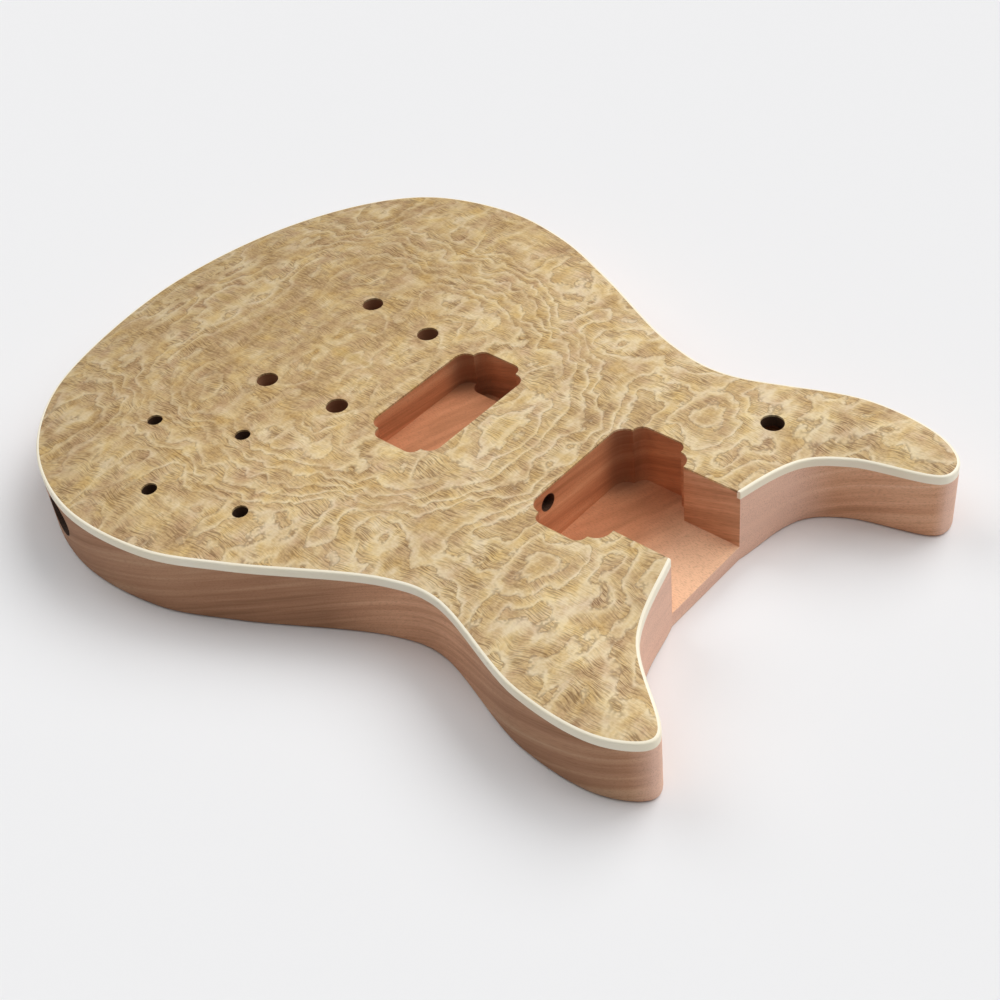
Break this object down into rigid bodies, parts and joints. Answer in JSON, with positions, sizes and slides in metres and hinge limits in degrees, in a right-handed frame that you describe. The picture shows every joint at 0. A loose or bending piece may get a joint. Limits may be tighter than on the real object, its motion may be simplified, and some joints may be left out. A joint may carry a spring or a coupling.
{
  "type": "electric guitar body",
  "caption": "Double-cutaway solid guitar body with an arched, bound veneer top, neck pocket, pickup cavities and post holes, bare of hardware.",
  "frame": {"origin": "on the centre line under the bridge, on the flat back", "axes": "+Z out of the arched top, +Y along the centre line towards the neck, +X to the treble side, where the controls are"},
  "size_m": [0.3372, 0.4524, 0.0445],
  "materials": {
    "mahogany": "sanded, unfinished, pinkish brown",
    "figured_veneer": "sanded, unfinished, with burl figure",
    "ivory_binding": "scraped satin, cream"
  },
  "bodies": {
    "root": {"mahogany_core": "mahogany", "veneer_bass": "figured_veneer", "veneer_treble": "figured_veneer", "binding_bass": "ivory_binding", "binding_treble": "ivory_binding"}
  },
  "joints": []
}
